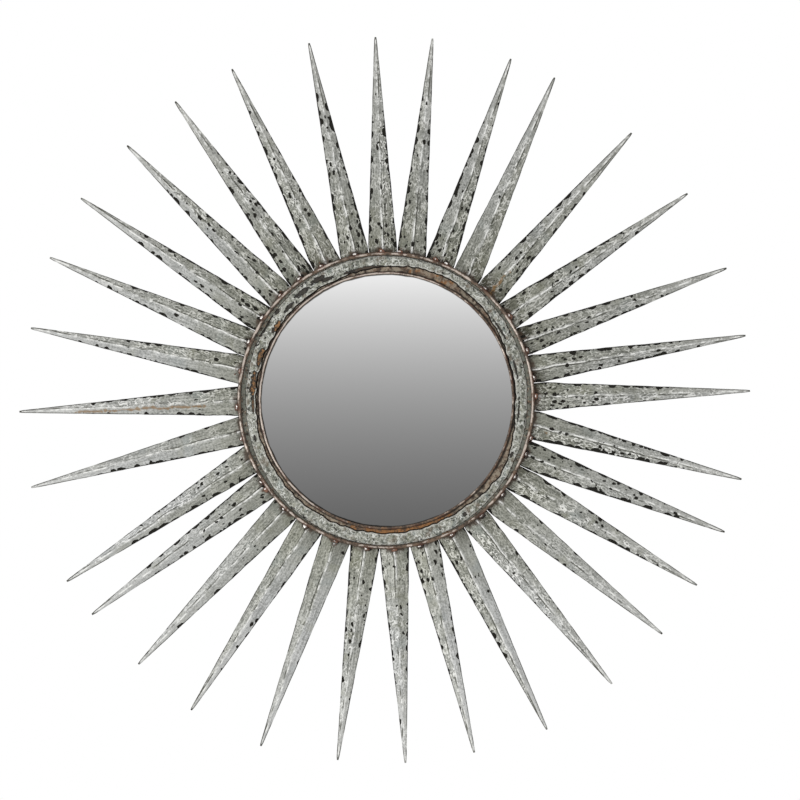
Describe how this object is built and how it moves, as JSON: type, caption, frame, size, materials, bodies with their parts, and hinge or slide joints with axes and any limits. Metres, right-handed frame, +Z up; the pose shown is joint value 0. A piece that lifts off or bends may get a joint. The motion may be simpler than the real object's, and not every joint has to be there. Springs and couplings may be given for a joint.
{
  "type": "sunburst wall mirror",
  "caption": "Round wall mirror in a galvanised sheet-metal sunburst: folded tapered rays welded round a wired rim, with a board back, wall pads and a swinging hanger ring.",
  "frame": {"origin": "middle of the mirror on the wall plane", "axes": "+Z up, +Y into the wall, so the mirror faces -Y, and +X to the right as the viewer sees it"},
  "size_m": [0.9063, 0.0265, 0.9003],
  "materials": {
    "galvanised_sheet": "dull mottled zinc with pits and dark chips",
    "rusty_steel": "bare steel with brown rust",
    "weld_metal": "copper-brown weld beads",
    "silvered_glass": "silvered",
    "board": "raw fibreboard",
    "plated_steel": "zinc plated",
    "pad_rubber": "matt black"
  },
  "bodies": {
    "mirror_body": {"backing_board": "board", "casing_band": "rusty_steel", "hanger_screws": "plated_steel", "hanger_strap": "plated_steel", "inner_wire": "rusty_steel", "mirror_glass": "silvered_glass", "outer_rod": "rusty_steel", "ray_01": "galvanised_sheet", "ray_02": "galvanised_sheet", "ray_03": "galvanised_sheet", "ray_04": "galvanised_sheet", "ray_05": "galvanised_sheet", "ray_06": "galvanised_sheet", "ray_07": "galvanised_sheet", "ray_08": "galvanised_sheet", "ray_09": "galvanised_sheet", "ray_10": "galvanised_sheet", "ray_11": "galvanised_sheet", "ray_12": "galvanised_sheet", "ray_13": "galvanised_sheet", "ray_14": "galvanised_sheet", "ray_15": "galvanised_sheet", "ray_16": "galvanised_sheet", "ray_17": "galvanised_sheet", "ray_18": "galvanised_sheet", "ray_19": "galvanised_sheet", "ray_20": "galvanised_sheet", "ray_21": "galvanised_sheet", "ray_22": "galvanised_sheet", "ray_23": "galvanised_sheet", "ray_24": "galvanised_sheet", "ray_25": "galvanised_sheet", "ray_26": "galvanised_sheet", "ray_27": "galvanised_sheet", "ray_28": "galvanised_sheet", "ray_29": "galvanised_sheet", "ray_30": "galvanised_sheet", "ray_31": "galvanised_sheet", "ray_32": "galvanised_sheet", "ray_welds": "weld_metal", "retaining_clips": "plated_steel", "rim_plate": "rusty_steel", "wall_pads": "pad_rubber", "zinc_face": "galvanised_sheet"},
    "hanger_ring_body": {"hanger_ring": "plated_steel"}
  },
  "joints": [
    {"name": "hanger_swing", "type": "hinge", "parent": "mirror_body", "child": "hanger_ring_body", "pos_m": [0, -0.0044, 0.122], "axis": [-1, 0, 0], "range_deg": [0, 180]}
  ]
}
